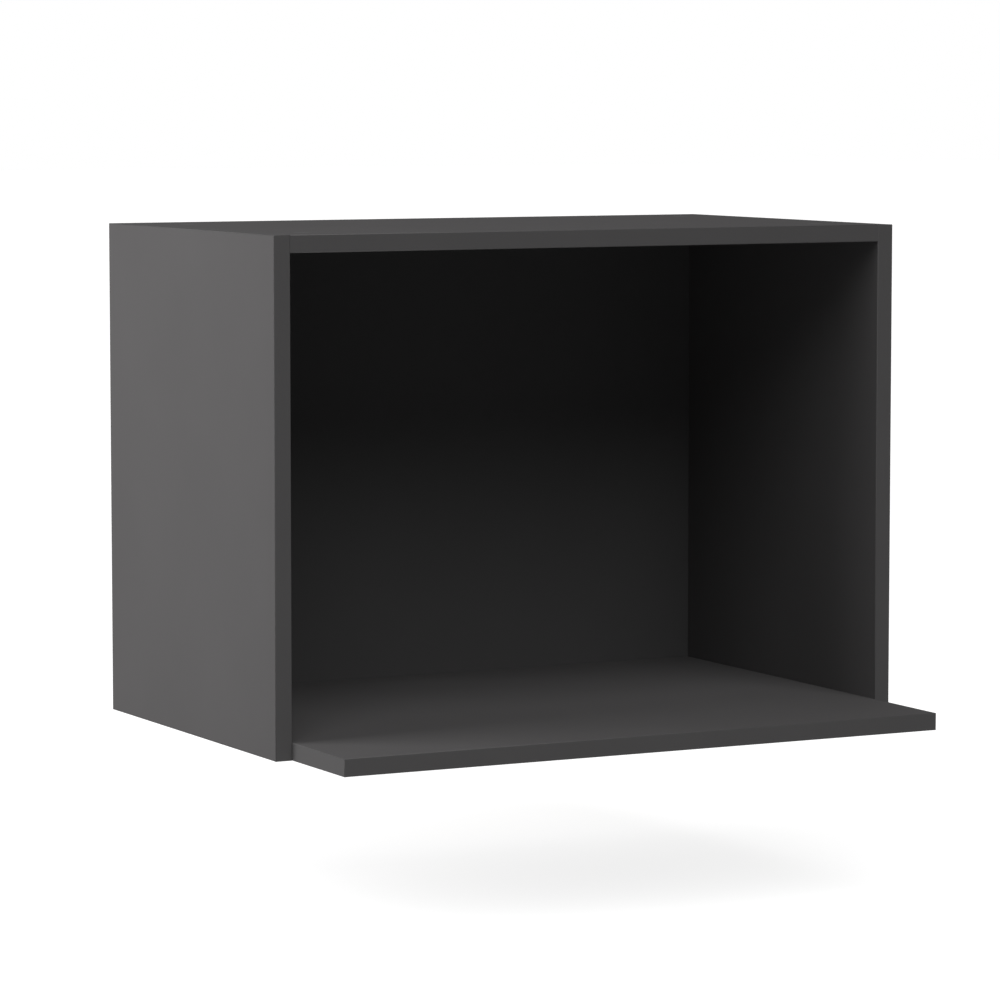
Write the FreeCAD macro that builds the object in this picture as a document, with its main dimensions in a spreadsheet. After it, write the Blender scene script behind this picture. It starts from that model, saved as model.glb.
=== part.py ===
import FreeCAD, Part
import Sketcher
import os

# Open wall cabinet with a deep shelf, in millimetres.
# The top board and the shelf board run between two side boards. Two battens across the back
# take the wall screws, and a thin sheet in grooves closes the back in front of them.
# The shelf is deeper than the sides, so its front reaches out under what stands on it.
# Cam locks, cam bolts and dowels join the boards, with cover caps where a cam lock would show.
# Frame: +X to the right, +Y to the wall, +Z up, origin on the underside, mid width and mid depth.

# Driving dimensions: name, value, meaning
SIZES = [
    ("width", "600", "outside width over both side boards"),
    ("tall", "436", "height of the side boards"),
    ("side_depth", "350", "wall to the front of the side boards and of the top"),
    ("shelf_depth", "450", "wall to the front of the shelf"),
    ("board", "15", "thickness of every board"),
    ("band", "1", "thickness of the edge band"),
    ("band_round", "0.6", "rounding along the outer corners of the edge band"),
    ("back_sheet", "3", "thickness of the back sheet"),
    ("groove_deep", "6", "depth of the groove that holds the back sheet"),
    ("groove_play", "0.2", "spare width of the groove in front of the back sheet"),
    ("sheet_play", "0.3", "room between the edges of the back sheet and the groove's floor"),
    ("upper_batten", "80", "height of the upper batten"),
    ("lower_batten", "60", "height of the lower batten"),
    ("joint_front", "50", "front of the side boards to the front cam bolts"),
    ("joint_rear", "60", "wall to the rear cam bolts"),
    ("dowel_pitch", "32", "cam bolt to the dowel beside it"),
    ("cam_set", "34", "side board's inner face to the axis of a cam lock"),
    ("cam_bore", "15", "diameter of the bore for a cam lock"),
    ("cam_play", "0.1", "room round a cam lock or a cap in that bore"),
    ("cam_below", "5", "cam lock beyond the axis of its bolt"),
    ("cam_throw", "0.8", "offset of the cam lock's hollow, which draws the bolt in"),
    ("bolt_room", "0.3", "room round the bolt inside the cam lock"),
    ("recess_wide", "1.4", "width of the cross recess in a cam lock"),
    ("recess_long", "9", "length of that recess"),
    ("recess_deep", "1.6", "depth of that recess"),
    ("cap_thick", "1", "thickness of a cover cap"),
    ("head_wide", "6.8", "diameter of the cam bolt's head"),
    ("head_thick", "3.2", "thickness of that head"),
    ("neck_wide", "4", "diameter of the neck behind that head"),
    ("neck_spare", "0.6", "neck outside the cam lock"),
    ("shank_wide", "7", "diameter of the cam bolt's shank"),
    ("shank_bore", "8", "diameter of the bore for that shank"),
    ("thread_wide", "6.2", "diameter over the cam bolt's thread"),
    ("thread_long", "10", "length of the thread, which bites in the side board"),
    ("thread_pitch", "2", "pitch of the thread"),
    ("thread_deep", "0.7", "depth of the thread"),
    ("tip_bevel", "0.8", "bevel at the tip of the thread"),
    ("drive_wide", "1", "width of the cross in the bolt's head, for a screwdriver"),
    ("drive_long", "4", "length of that cross"),
    ("drive_deep", "1.6", "depth of that cross"),
    ("dowel_wide", "8", "diameter of a dowel"),
    ("dowel_long", "30", "length of a dowel"),
    ("dowel_bite", "10", "length of a dowel in the side board"),
    ("dowel_bevel", "1", "bevel at both ends of a dowel"),
    ("flute_wide", "0.8", "diameter of the flutes along a dowel"),
    ("fit_play", "0.1", "spare diameter of a hole for a dowel or a thread"),
    ("hole_spare", "1", "depth of a blind hole past the end of what sits in it"),
    ("wall_hole", "6.5", "diameter of a hole for a wall screw"),
    ("wall_across", "450", "left wall screws to right wall screws"),
    ("cord_hole", "60", "diameter of the hole for a supply cord and its plug"),
    ("cord_aside", "190", "middle of the cabinet to the axis of that hole"),
    ("cord_up", "140", "underside to the axis of that hole"),
]

# Places that follow from the driving dimensions: name, formula
PLACES = [
    ("inner_width", "=Sizes.width - 2 * Sizes.board"),
    ("left_outer", "=-Sizes.width / 2"),
    ("left_inner", "=-inner_width / 2"),
    ("right_inner", "=inner_width / 2"),
    ("wall", "=Sizes.shelf_depth / 2"),
    ("shelf_front", "=-Sizes.shelf_depth / 2"),
    ("reach", "=Sizes.shelf_depth - Sizes.side_depth"),
    ("side_front", "=shelf_front + reach"),
    ("half_board", "=Sizes.board / 2"),
    ("top_under", "=Sizes.tall - Sizes.board"),
    ("top_middle", "=Sizes.tall - half_board"),
    ("band_round", "=min(Sizes.band_round; 0.8 * Sizes.band)"),
    ("groove_wide", "=Sizes.back_sheet + Sizes.groove_play"),
    ("groove_front", "=Sizes.side_depth - Sizes.board - groove_wide"),
    ("sheet_wide", "=inner_width + 2 * (Sizes.groove_deep - Sizes.sheet_play)"),
    ("sheet_foot", "=Sizes.board - Sizes.groove_deep"),
    ("sheet_tall", "=top_under + Sizes.groove_deep - Sizes.sheet_play - sheet_foot"),
    ("rear_joint", "=Sizes.side_depth - Sizes.joint_rear"),
    ("front_dowel", "=Sizes.joint_front + Sizes.dowel_pitch"),
    ("rear_dowel", "=rear_joint - Sizes.dowel_pitch"),
    ("upper_foot", "=top_under - Sizes.upper_batten"),
    ("upper_middle", "=upper_foot + Sizes.upper_batten / 2"),
    ("lower_middle", "=Sizes.board + Sizes.lower_batten / 2"),
    ("batten_joint", "=Sizes.side_depth - half_board"),
    ("cam_bore_deep", "=half_board + Sizes.cam_below"),
    ("cam_wide", "=Sizes.cam_bore - 2 * Sizes.cam_play"),
    ("cam_above", "=half_board - Sizes.cap_thick - Sizes.cam_play"),
    ("cam_tall", "=Sizes.cam_below + cam_above"),
    ("head_way", "=Sizes.head_wide + 2 * Sizes.bolt_room"),
    ("neck_way", "=Sizes.neck_wide + 2 * Sizes.bolt_room"),
    ("head_corner", "=sqrt(pow(Sizes.head_thick / 2 + Sizes.cam_throw; 2) + pow(Sizes.head_wide / 2; 2))"),
    ("hollow_wide", "=2 * (head_corner + Sizes.bolt_room)"),
    ("hollow_tall", "=head_way + Sizes.bolt_room"),
    ("stem_wide", "=Sizes.recess_wide - 2 * Sizes.cam_play"),
    ("stem_long", "=Sizes.recess_long - 2 * Sizes.cam_play"),
    ("stem_tall", "=Sizes.recess_deep - Sizes.cam_play"),
    ("neck_end", "=cam_wide / 2 + Sizes.neck_spare"),
    ("shank_long", "=Sizes.cam_set - neck_end"),
    ("thread_end", "=Sizes.cam_set + Sizes.thread_long"),
    ("thread_flare", "=0.8 * Sizes.thread_pitch"),
    ("thread_turns", "=floor(Sizes.thread_long / Sizes.thread_pitch) - 1"),
    ("thread_hole", "=Sizes.thread_wide + Sizes.fit_play"),
    ("thread_hole_deep", "=Sizes.thread_long + Sizes.hole_spare"),
    ("dowel_hole", "=Sizes.dowel_wide + Sizes.fit_play"),
    ("dowel_hole_deep", "=Sizes.dowel_bite + Sizes.hole_spare"),
    ("dowel_inside", "=Sizes.dowel_long - Sizes.dowel_bite"),
    ("dowel_end_deep", "=dowel_inside + Sizes.hole_spare"),
    ("hole_left", "=-Sizes.wall_across / 2"),
    ("hole_right", "=Sizes.wall_across / 2"),
]

# Measured from the front of the side boards
BOLTS_ALONG = ("Sizes.joint_front", "Places.rear_joint")
DOWELS_ALONG = ("Places.front_dowel", "Places.rear_dowel")

# Measured from the underside
BATTEN_MIDDLES = ("Places.lower_middle", "Places.upper_middle")
BATTEN_BOLTS = [f"{middle} - Sizes.dowel_pitch / 2" for middle in BATTEN_MIDDLES]
BATTEN_DOWELS = [f"{middle} + Sizes.dowel_pitch / 2" for middle in BATTEN_MIDDLES]

# Flutes round a dowel, and how near counts as the same place
FLUTES = 12
NEAR = 1e-6

doc = FreeCAD.newDocument("wall_cabinet")


def fill_sheet(name, rows):
    """A spreadsheet with one named cell a row."""
    sheet = doc.addObject("Spreadsheet::Sheet", name)
    for number, (alias, content, *meaning) in enumerate(rows, 1):
        sheet.set(f"A{number}", alias)
        sheet.set(f"B{number}", content)
        sheet.set(f"C{number}", " ".join(meaning))
        sheet.setAlias(f"B{number}", alias)
    doc.recompute()


fill_sheet("Sizes", SIZES)
fill_sheet("Places", PLACES)


def new_body(name, x=None, y=None, z=None):
    """An empty body, placed by up to three formulas."""
    body = doc.addObject("PartDesign::Body", name)
    body.Label = name
    for axis, formula in (("x", x), ("y", y), ("z", z)):
        if formula:
            body.setExpression(f"Placement.Base.{axis}", formula)
    return body


def new_sketch(body, name, role, lift=None):
    """An empty sketch on one of the body's own planes, moved along the plane's normal by a formula."""
    sketch = body.newObject("Sketcher::SketchObject", f"{body.Name}_{name}")
    plane = next(item for item in body.Origin.OriginFeatures if item.Role == role)
    sketch.AttachmentSupport = [(plane, "")]
    sketch.MapMode = "FlatFace"
    if lift:
        sketch.setExpression("AttachmentOffset.Base.z", lift)
    return sketch


def bind(sketch, kind, where, formula):
    """One dimension of a sketch, bound to a formula."""
    index = sketch.addConstraint(Sketcher.Constraint(kind, *where, 1.0))
    sketch.setExpression(f"Constraints[{index}]", formula)


def hold_point(sketch, item, point, across, up):
    """Holds a point of the sketch at two formulas; None keeps it on the sketch's own axis."""
    across_axis, up_axis, origin = -1, -2, (-1, 1)
    if across:
        bind(sketch, "DistanceX", (*origin, item, point), across)
    else:
        sketch.addConstraint(Sketcher.Constraint("PointOnObject", item, point, up_axis))
    if up:
        bind(sketch, "DistanceY", (*origin, item, point), up)
    else:
        sketch.addConstraint(Sketcher.Constraint("PointOnObject", item, point, across_axis))


def add_lines(sketch, corners):
    """Closed straight lines through rough corners; returns the number of the first line."""
    first = sketch.GeometryCount
    points = [FreeCAD.Vector(across, up, 0) for across, up in corners]
    for number, point in enumerate(points):
        sketch.addGeometry(Part.LineSegment(point, points[(number + 1) % len(points)]), False)
    for number in range(len(points)):
        following = first + (number + 1) % len(points)
        sketch.addConstraint(Sketcher.Constraint("Coincident", first + number, 2, following, 1))
    return first


def add_rectangle(sketch, left, foot, wide, high):
    """A rectangle given by its lower left corner, its width and its height."""
    first = add_lines(sketch, [(1, 1), (9, 1), (9, 5), (1, 5)])
    for number, level in enumerate(("Horizontal", "Vertical", "Horizontal", "Vertical")):
        sketch.addConstraint(Sketcher.Constraint(level, first + number))
    hold_point(sketch, first, 1, left, foot)
    bind(sketch, "DistanceX", (first, 1, first, 2), wide)
    bind(sketch, "DistanceY", (first + 1, 1, first + 1, 2), high)


def add_polygon(sketch, corners):
    """Closed straight lines through corners that are each given by two formulas."""
    rough = [(sketch.evalExpression(across), sketch.evalExpression(up)) for across, up in corners]
    first = add_lines(sketch, rough)
    for number, (across, up) in enumerate(corners):
        hold_point(sketch, first + number, 1, across, up)


def add_cross(sketch, wide, long):
    """An upright cross about the sketch's origin, with arms of one width and length."""
    arm, corner = f"{long} / 2", f"{wide} / 2"
    quarter = [(arm, corner), (corner, corner), (corner, arm)]
    corners = []
    for number in range(4):
        corners += quarter
        quarter = [(f"-({up})", across) for across, up in quarter]
    add_polygon(sketch, corners)


def add_circle(sketch, across, up, diameter):
    """A circle given by its centre and its diameter."""
    rough = Part.Circle(FreeCAD.Vector(2, 2, 0), FreeCAD.Vector(0, 0, 1), 1)
    item = sketch.addGeometry(rough, False)
    hold_point(sketch, item, 3, across, up)
    bind(sketch, "Diameter", (item,), diameter)


def pad(body, sketch, length, reverse=False):
    """Material from a sketch, along its normal or the other way."""
    made = body.newObject("PartDesign::Pad", sketch.Name + "_pad")
    made.Profile = sketch
    made.Reversed = reverse
    made.setExpression("Length", length)
    doc.recompute()
    return made


def cut(body, sketch, depth, reverse=False):
    """A pocket from a sketch, against its normal or the other way; it has to remove material."""
    before = body.Shape.Volume
    made = body.newObject("PartDesign::Pocket", sketch.Name + "_cut")
    made.Profile = sketch
    made.Reversed = reverse
    made.setExpression("Length", depth)
    doc.recompute()
    if not made.isValid() or body.Shape.Volume >= before:
        raise RuntimeError(f"{made.Name} removes nothing")
    return made


def finish_edges(body, kind, base, wanted, size_name, formula):
    """A fillet or chamfer on the edges of a feature that pass a test."""
    chosen = [f"Edge{number}" for number, edge in enumerate(base.Shape.Edges, 1) if wanted(edge)]
    made = body.newObject(kind, body.Name + "_edges")
    made.Base = (base, chosen)
    made.setExpression(size_name, formula)
    doc.recompute()


def both_joints(to_side_front):
    """The places along a board's depth of its cam bolts and of its dowels, as two lists."""
    bolts = [f"{to_side_front} + {place}" for place in BOLTS_ALONG]
    dowels = [f"{to_side_front} + {place}" for place in DOWELS_ALONG]
    return bolts, dowels


# Boards

def side_board(name, left, inner_face, reverse):
    """A side board, smaller than its outline by its bands, drilled and grooved in its inner face."""
    body = new_body(name, left, "Places.side_front")
    outline = new_sketch(body, "outline", "YZ_Plane")
    depth = "Sizes.side_depth - Sizes.band"
    add_rectangle(outline, "Sizes.band", "Sizes.band", depth, "Sizes.tall - 2 * Sizes.band")
    pad(body, outline, "Sizes.board")

    groove = new_sketch(body, "groove", "YZ_Plane", inner_face)
    height = "Places.top_under + Sizes.groove_deep - Places.sheet_foot"
    add_rectangle(groove, "Places.groove_front", "Places.sheet_foot", "Places.groove_wide", height)
    cut(body, groove, "Sizes.groove_deep", reverse)

    bolt_holes = new_sketch(body, "bolt_holes", "YZ_Plane", inner_face)
    dowel_holes = new_sketch(body, "dowel_holes", "YZ_Plane", inner_face)
    for level in ("Places.half_board", "Places.top_middle"):
        for place in BOLTS_ALONG:
            add_circle(bolt_holes, place, level, "Places.thread_hole")
        for place in DOWELS_ALONG:
            add_circle(dowel_holes, place, level, "Places.dowel_hole")
    for level in BATTEN_BOLTS:
        add_circle(bolt_holes, "Places.batten_joint", level, "Places.thread_hole")
    for level in BATTEN_DOWELS:
        add_circle(dowel_holes, "Places.batten_joint", level, "Places.dowel_hole")
    cut(body, bolt_holes, "Places.thread_hole_deep", reverse)
    cut(body, dowel_holes, "Places.dowel_hole_deep", reverse)


def drill_ends(body, bolts, dowels):
    """Holes in both ends of a board; bolts and dowels are (across, up) in the plane of the end."""
    for end, lift, reverse in (("left", None, True), ("right", "Places.inner_width", False)):
        bolt_holes = new_sketch(body, f"{end}_bolt_bores", "YZ_Plane", lift)
        for across, up in bolts:
            add_circle(bolt_holes, across, up, "Sizes.shank_bore")
        cut(body, bolt_holes, "Sizes.cam_set", reverse)
        dowel_holes = new_sketch(body, f"{end}_dowel_holes", "YZ_Plane", lift)
        for across, up in dowels:
            add_circle(dowel_holes, across, up, "Places.dowel_hole")
        cut(body, dowel_holes, "Places.dowel_end_deep", reverse)


def bore_for_cams(body, role, face, along, reverse):
    """The bores for cam locks near both ends of a board, at each place along its depth."""
    bores = new_sketch(body, "cam_bores", role, face)
    for across in ("Sizes.cam_set", "Places.inner_width - Sizes.cam_set"):
        for place in along:
            add_circle(bores, across, place, "Sizes.cam_bore")
    cut(body, bores, "Places.cam_bore_deep", reverse)


def level_board(name, front, level, depth, end_band, cams_above):
    """The top or the shelf: cam bores in its outer face, holes in its ends, the groove inside."""
    body = new_body(name, "Places.left_inner", front, level)
    to_side_front = f"{depth} - Sizes.side_depth"
    length = f"Places.inner_width - 2 * {end_band}" if end_band else "Places.inner_width"
    outline = new_sketch(body, "outline", "XY_Plane")
    add_rectangle(outline, end_band, "Sizes.band", length, f"{depth} - Sizes.band")
    pad(body, outline, "Sizes.board")

    bolts, dowels = both_joints(to_side_front)
    cam_face, groove_face = ("Sizes.board", None) if cams_above else (None, "Sizes.board")
    bore_for_cams(body, "XY_Plane", cam_face, bolts, reverse=not cams_above)
    middle = "Places.half_board"
    drill_ends(body, [(place, middle) for place in bolts], [(place, middle) for place in dowels])

    groove = new_sketch(body, "groove", "XY_Plane", groove_face)
    start = f"{to_side_front} + Places.groove_front"
    add_rectangle(groove, None, start, "Places.inner_width", "Places.groove_wide")
    cut(body, groove, "Sizes.groove_deep", reverse=cams_above)


def batten(name, foot, high):
    """A rear batten, with its cam bores in the face that lies on the wall."""
    body = new_body(name, "Places.left_inner", "Places.wall - Sizes.board", foot)
    outline = new_sketch(body, "outline", "XZ_Plane")
    add_rectangle(outline, None, None, "Places.inner_width", high)
    pad(body, outline, "Sizes.board", reverse=True)

    cam_level = f"{high} / 2 - Sizes.dowel_pitch / 2"
    dowel_level = f"{high} / 2 + Sizes.dowel_pitch / 2"
    bore_for_cams(body, "XZ_Plane", "-Sizes.board", [cam_level], reverse=True)
    drill_ends(body, [("Places.half_board", cam_level)], [("Places.half_board", dowel_level)])

    screw_holes = new_sketch(body, "wall_holes", "XZ_Plane")
    for place in ("Places.hole_left", "Places.hole_right"):
        add_circle(screw_holes, f"Places.inner_width / 2 + {place}", f"{high} / 2", "Sizes.wall_hole")
    cut(body, screw_holes, "Sizes.board")


def back_panel():
    """The thin back, held in the grooves of all four boards, with the hole for a cord."""
    front = "Places.wall - Sizes.board - Sizes.back_sheet"
    body = new_body("back_panel", None, front, "Places.sheet_foot")
    outline = new_sketch(body, "outline", "XZ_Plane")
    add_rectangle(outline, "-Places.sheet_wide / 2", None, "Places.sheet_wide", "Places.sheet_tall")
    pad(body, outline, "Sizes.back_sheet", reverse=True)

    cord_hole = new_sketch(body, "cord_hole", "XZ_Plane")
    add_circle(cord_hole, "-Sizes.cord_aside", "Sizes.cord_up - Places.sheet_foot", "Sizes.cord_hole")
    cut(body, cord_hole, "Sizes.back_sheet")


side_board("left_side_panel", "Places.left_outer", "Sizes.board", reverse=False)
side_board("right_side_panel", "Places.right_inner", None, reverse=True)
level_board("top_panel", "Places.side_front", "Places.top_under", "Sizes.side_depth", None, cams_above=True)
level_board("base_panel", "Places.shelf_front", None, "Sizes.shelf_depth", "Sizes.band", cams_above=False)
batten("upper_batten", "Places.upper_foot", "Sizes.upper_batten")
batten("lower_batten", "Sizes.board", "Sizes.lower_batten")
back_panel()


# Edge bands

def edge_band(name, corner, extent, bare_axis, bare_level, along):
    """A thin bar given by its corner and extent, with the edges of its bare side rounded.

    The bare side is square to bare_axis at the formula bare_level, and along names the axes of
    the edges that are rounded.
    """
    body = new_body(name, *corner)
    outline = new_sketch(body, "outline", "XY_Plane")
    add_rectangle(outline, None, None, extent[0], extent[1])
    bar = pad(body, outline, extent[2])
    level = float(body.evalExpression(bare_level))

    def is_bare(edge):
        ends = [vertex.Point for vertex in edge.Vertexes]
        run = (ends[1] - ends[0]).normalize()
        in_plane = all(abs(getattr(end, bare_axis) - level) < NEAR for end in ends)
        return in_plane and any(abs(getattr(run, axis)) > 1 - NEAR for axis in along)

    finish_edges(body, "PartDesign::Fillet", bar, is_bare, "Radius", "Places.band_round")
    return body


def side_bands(side, left):
    """The three bands of a side board: the front one whole, the other two behind it."""
    behind = "Places.side_front + Sizes.band"
    lying = ("Sizes.board", "Sizes.side_depth - Sizes.band", "Sizes.band")
    edge_band(f"{side}_side_front_band", (left, "Places.side_front", None),
              ("Sizes.board", "Sizes.band", "Sizes.tall"), "y", "0", "xz")
    edge_band(f"{side}_side_top_band", (left, behind, "Sizes.tall - Sizes.band"),
              lying, "z", "Sizes.band", "y")
    edge_band(f"{side}_side_bottom_band", (left, behind, None), lying, "z", "0", "y")


def shelf_end_band(name, left, bare_level):
    """The band on one end of the shelf, drilled and grooved together with the shelf."""
    extent = ("Sizes.band", "Sizes.shelf_depth - Sizes.band", "Sizes.board")
    corner = (left, "Places.shelf_front + Sizes.band", None)
    body = edge_band(name, corner, extent, "x", bare_level, "y")

    to_side_front = "Places.reach - Sizes.band"
    bolts, dowels = both_joints(to_side_front)
    holes = new_sketch(body, "holes", "YZ_Plane")
    for place in bolts:
        add_circle(holes, place, "Places.half_board", "Sizes.shank_bore")
    for place in dowels:
        add_circle(holes, place, "Places.half_board", "Places.dowel_hole")
    cut(body, holes, "Sizes.band", reverse=True)
    notch = new_sketch(body, "notch", "YZ_Plane")
    start = f"{to_side_front} + Places.groove_front"
    add_rectangle(notch, start, "Places.sheet_foot", "Places.groove_wide", "Sizes.groove_deep")
    cut(body, notch, "Sizes.band", reverse=True)


side_bands("left", "Places.left_outer")
side_bands("right", "Places.right_inner")
edge_band("top_front_band", ("Places.left_inner", "Places.side_front", "Places.top_under"),
          ("Places.inner_width", "Sizes.band", "Sizes.board"), "y", "0", "x")
edge_band("base_front_band", ("Places.left_inner", "Places.shelf_front", None),
          ("Places.inner_width", "Sizes.band", "Sizes.board"), "y", "0", "xz")
shelf_end_band("base_left_band", "Places.left_inner", "0")
shelf_end_band("base_right_band", "Places.right_inner - Sizes.band", "Sizes.band")


# Fittings: one of each, with the cam lock's axis on Z and the axis of its bolt on X

def cam_lock():
    """A barrel with an off-centre hollow, a way in for the bolt's head and a slot for its neck."""
    body = new_body("cam_lock")
    barrel = new_sketch(body, "barrel", "XY_Plane", "-Sizes.cam_below")
    add_circle(barrel, None, None, "Places.cam_wide")
    pad(body, barrel, "Places.cam_tall")

    hollow = new_sketch(body, "hollow", "XY_Plane", "Places.hollow_tall / 2")
    add_circle(hollow, "Sizes.cam_throw", None, "Places.hollow_wide")
    cut(body, hollow, "Places.hollow_tall")

    way_in = new_sketch(body, "way_in", "XZ_Plane")
    add_circle(way_in, None, None, "Places.head_way")
    cut(body, way_in, "Sizes.cam_bore")

    slot = new_sketch(body, "slot", "XY_Plane", "Places.neck_way / 2")
    reach = "Sizes.cam_bore + Places.neck_way / 2"
    add_rectangle(slot, "-Sizes.cam_bore", "-Places.neck_way / 2", reach, reach)
    cut(body, slot, "Places.neck_way")

    recess = new_sketch(body, "recess", "XY_Plane", "Places.cam_above")
    add_cross(recess, "Sizes.recess_wide", "Sizes.recess_long")
    cut(body, recess, "Sizes.recess_deep")
    return body


def cover_cap():
    """A flat cap, flush with the board, whose cross-shaped stem plugs into the cam lock's recess."""
    body = new_body("cover_cap")
    disc = new_sketch(body, "disc", "XY_Plane", "Places.half_board - Sizes.cap_thick")
    add_circle(disc, None, None, "Places.cam_wide")
    pad(body, disc, "Sizes.cap_thick")
    stem = new_sketch(body, "stem", "XY_Plane", "Places.half_board - Sizes.cap_thick")
    add_cross(stem, "Places.stem_wide", "Places.stem_long")
    pad(body, stem, "Places.stem_tall", reverse=True)
    return body


def cam_bolt():
    """A turned bolt: a head and a neck for the cam lock, a shank, a thread for the side board."""
    body = new_body("cam_bolt")
    lengths = [
        ("thread", "-Sizes.cam_set", "Sizes.thread_wide", "Sizes.thread_long", True),
        ("shank", "-Sizes.cam_set", "Sizes.shank_wide", "Places.shank_long", False),
        ("neck", "-Places.neck_end", "Sizes.neck_wide", "Places.neck_end", False),
        ("head", "-Sizes.head_thick / 2", "Sizes.head_wide", "Sizes.head_thick", False),
    ]
    for name, lift, diameter, length, reverse in lengths:
        circle = new_sketch(body, name, "YZ_Plane", lift)
        add_circle(circle, None, None, diameter)
        last = pad(body, circle, length, reverse)

    tip = -body.evalExpression("Places.thread_end")

    def is_tip(edge):
        return edge.isClosed() and abs(edge.Vertexes[0].X - tip) < NEAR

    finish_edges(body, "PartDesign::Chamfer", last, is_tip, "Size", "Sizes.tip_bevel")
    drive = new_sketch(body, "drive", "YZ_Plane", "Sizes.head_thick / 2")
    add_cross(drive, "Sizes.drive_wide", "Sizes.drive_long")
    cut(body, drive, "Sizes.drive_deep")

    profile = new_sketch(body, "thread_profile", "XY_Plane")
    middle = "-Sizes.cam_set - Sizes.thread_pitch"
    floor = "Sizes.thread_wide / 2 - Sizes.thread_deep"
    mouth = "Sizes.thread_wide / 2 + Sizes.thread_deep"
    sides = [f"{middle} + Places.thread_flare", f"{middle} - Places.thread_flare"]
    add_polygon(profile, [(middle, floor), (sides[0], mouth), (sides[1], mouth)])
    groove = body.newObject("PartDesign::Groove", "cam_bolt_groove")
    groove.Profile = profile
    groove.ReferenceAxis = (profile, ["H_Axis"])
    doc.recompute()
    grooves = body.newObject("PartDesign::LinearPattern", "cam_bolt_grooves")
    grooves.Originals = [groove]
    grooves.Direction = (profile, ["H_Axis"])
    grooves.Reversed = True
    grooves.setExpression("Length", "(Places.thread_turns - 1) * Sizes.thread_pitch")
    grooves.setExpression("Occurrences", "Places.thread_turns")
    body.Tip = grooves
    doc.recompute()
    return body


def dowel():
    """A bevelled, fluted dowel, with the side board's inner face at its local zero."""
    body = new_body("dowel")
    circle = new_sketch(body, "rod", "YZ_Plane", "-Sizes.dowel_bite")
    add_circle(circle, None, None, "Sizes.dowel_wide")
    rod = pad(body, circle, "Sizes.dowel_long")
    finish_edges(body, "PartDesign::Chamfer", rod, lambda edge: edge.isClosed(), "Size", "Sizes.dowel_bevel")

    rim = new_sketch(body, "flute", "YZ_Plane", "Places.dowel_inside")
    add_circle(rim, None, "Sizes.dowel_wide / 2", "Sizes.flute_wide")
    flute = cut(body, rim, "Sizes.dowel_long")
    flutes = body.newObject("PartDesign::PolarPattern", "dowel_flutes")
    flutes.Originals = [flute]
    flutes.Axis = (rim, ["N_Axis"])
    flutes.Angle = 360
    flutes.Occurrences = FLUTES
    body.Tip = flutes
    doc.recompute()
    return body


def turned(*turns):
    """A rotation made of turns about the row's axes, one after the other."""
    whole = FreeCAD.Rotation()
    for axis, degrees in turns:
        direction = FreeCAD.Vector(*(float(axis == name) for name in "xyz"))
        whole = FreeCAD.Rotation(direction, degrees) * whole
    return whole


def fitting_set(name, fitting, spots):
    """One node of equal fittings: linked copies of one, each turned and placed by its formulas."""
    copies = []
    for number, (place, rotation) in enumerate(spots, 1):
        copy = doc.addObject("App::Link", f"{name}_{number}")
        copy.LinkedObject = fitting
        copy.LinkPlacement = FreeCAD.Placement(FreeCAD.Vector(), rotation)
        for axis, formula in zip("xyz", place):
            copy.setExpression(f"LinkPlacement.Base.{axis}", formula)
        copies.append(copy)
    group = doc.addObject("Part::Compound", name)
    group.Label = name
    group.Links = copies


CAM_LEFT = "Places.left_inner + Sizes.cam_set"
CAM_RIGHT = "Places.right_inner - Sizes.cam_set"
FACING_UP = [(CAM_LEFT, turned()), (CAM_RIGHT, turned(("z", 180)))]
FACING_DOWN = [(CAM_LEFT, turned(("x", 180))), (CAM_RIGHT, turned(("y", 180)))]
FACING_WALL = [(CAM_LEFT, turned(("x", -90))), (CAM_RIGHT, turned(("x", -90), ("y", 180)))]
DOWEL_ENDS = [("Places.left_inner", turned()), ("Places.right_inner", turned(("z", 180)))]


def spots(ends, along, levels):
    """The spots at both ends of a board, at each place along its depth and each level."""
    found = []
    for across, rotation in ends:
        for place in along:
            for level in levels:
                found.append(((across, f"Places.side_front + {place}", level), rotation))
    return found


lock, cap, bolt, pin = cam_lock(), cover_cap(), cam_bolt(), dowel()

cams = {
    "top": spots(FACING_UP, BOLTS_ALONG, ["Places.top_middle"]),
    "base": spots(FACING_DOWN, BOLTS_ALONG, ["Places.half_board"]),
    "batten": spots(FACING_WALL, ["Places.batten_joint"], BATTEN_BOLTS),
}
pins = {
    "top": spots(DOWEL_ENDS, DOWELS_ALONG, ["Places.top_middle"]),
    "base": spots(DOWEL_ENDS, DOWELS_ALONG, ["Places.half_board"]),
    "batten": spots(DOWEL_ENDS, ["Places.batten_joint"], BATTEN_DOWELS),
}
for board in cams:
    fitting_set(f"{board}_cam_locks", lock, cams[board])
    fitting_set(f"{board}_cam_bolts", bolt, cams[board])
    fitting_set(f"{board}_dowels", pin, pins[board])
for board in ("top", "base"):
    fitting_set(f"{board}_cover_caps", cap, cams[board])
doc.recompute()


# Check and write

def nodes():
    """Every sub-part: all bodies but the four single fittings, and all sets of fittings."""
    single = (lock, cap, bolt, pin)
    kinds = ("PartDesign::Body", "Part::Compound")
    return [item for item in doc.Objects if item.TypeId in kinds and item not in single]


for item in doc.Objects:
    if {"Invalid", "Error"} & set(item.State):
        raise RuntimeError(f"{item.Name} failed: {item.State}")
for node in nodes():
    if node.Shape.isNull() or not node.Shape.isValid() or not node.Shape.Solids:
        raise RuntimeError(f"{node.Label} is not a sound solid")

os.makedirs("parts", exist_ok=True)
for node in nodes():
    node.Shape.exportStep(f"parts/{node.Label}.step")
    print(f"{node.Label}: {len(node.Shape.Solids)} solids, {node.Shape.Volume / 1000:.1f} cm3")
print(len(nodes()), "nodes")
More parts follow.
